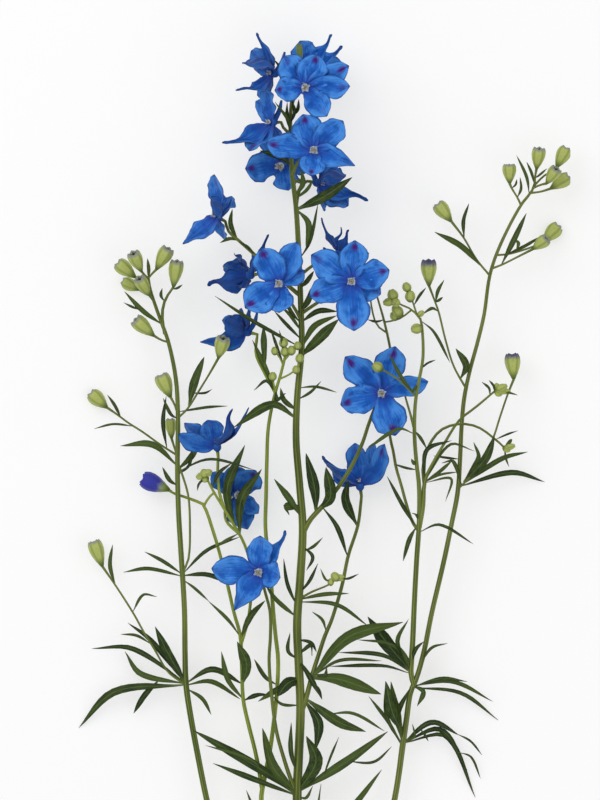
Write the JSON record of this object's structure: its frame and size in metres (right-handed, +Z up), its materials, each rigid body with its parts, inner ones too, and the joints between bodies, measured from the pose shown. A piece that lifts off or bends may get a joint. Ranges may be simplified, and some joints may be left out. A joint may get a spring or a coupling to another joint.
{
  "type": "delphinium flower spike",
  "caption": "Cut branching delphinium flower spike with open blue spurred blooms, green buds and finely cut leaves, lying on its side.",
  "frame": {"origin": "on the small flat underneath the cut end of the main stem, where the stem lies on the surface", "axes": "+Y along the flower from the cut end towards its tip, +X to the flower's right as seen from above, +Z up from the surface it lies on"},
  "size_m": [0.247, 0.5732, 0.0596],
  "materials": {
    "main_stem_green": "soft matt green stem and leaves",
    "left_lateral_green": "soft matt green stem and leaves",
    "right_lateral_green": "soft matt green stem and leaves",
    "right_inner_lateral_green": "soft matt green stem and leaves",
    "centre_branch_green": "soft matt green stem and leaves",
    "sepal_blue": "thin matt cornflower-blue petals with darker edges",
    "centre_cream": "small matt cream centre"
  },
  "bodies": {
    "root": {"main_stem": "main_stem_green", "left_lateral": "left_lateral_green", "right_lateral": "right_lateral_green", "right_inner_lateral": "right_inner_lateral_green", "centre_branch": "centre_branch_green", "bloom_01": "sepal_blue", "bloom_02": "sepal_blue", "bloom_03": "sepal_blue", "bloom_04": "sepal_blue", "bloom_05": "sepal_blue", "bloom_06": "sepal_blue", "bloom_07": "sepal_blue", "bloom_08": "sepal_blue", "bloom_09": "sepal_blue", "bloom_10": "sepal_blue", "bloom_11": "sepal_blue", "bloom_12": "sepal_blue", "bloom_13": "sepal_blue", "bloom_14": "sepal_blue", "bloom_15": "sepal_blue", "bloom_16": "sepal_blue", "bloom_17": "sepal_blue", "bloom_18": "sepal_blue", "bloom_01_centre": "centre_cream", "bloom_02_centre": "centre_cream", "bloom_03_centre": "centre_cream", "bloom_04_centre": "centre_cream", "bloom_05_centre": "centre_cream", "bloom_06_centre": "centre_cream", "bloom_07_centre": "centre_cream", "bloom_08_centre": "centre_cream", "bloom_09_centre": "centre_cream", "bloom_10_centre": "centre_cream", "bloom_11_centre": "centre_cream", "bloom_12_centre": "centre_cream", "bloom_13_centre": "centre_cream", "bloom_14_centre": "centre_cream", "bloom_15_centre": "centre_cream", "bloom_16_centre": "centre_cream", "bloom_17_centre": "centre_cream", "bloom_18_centre": "centre_cream"}
  },
  "joints": []
}
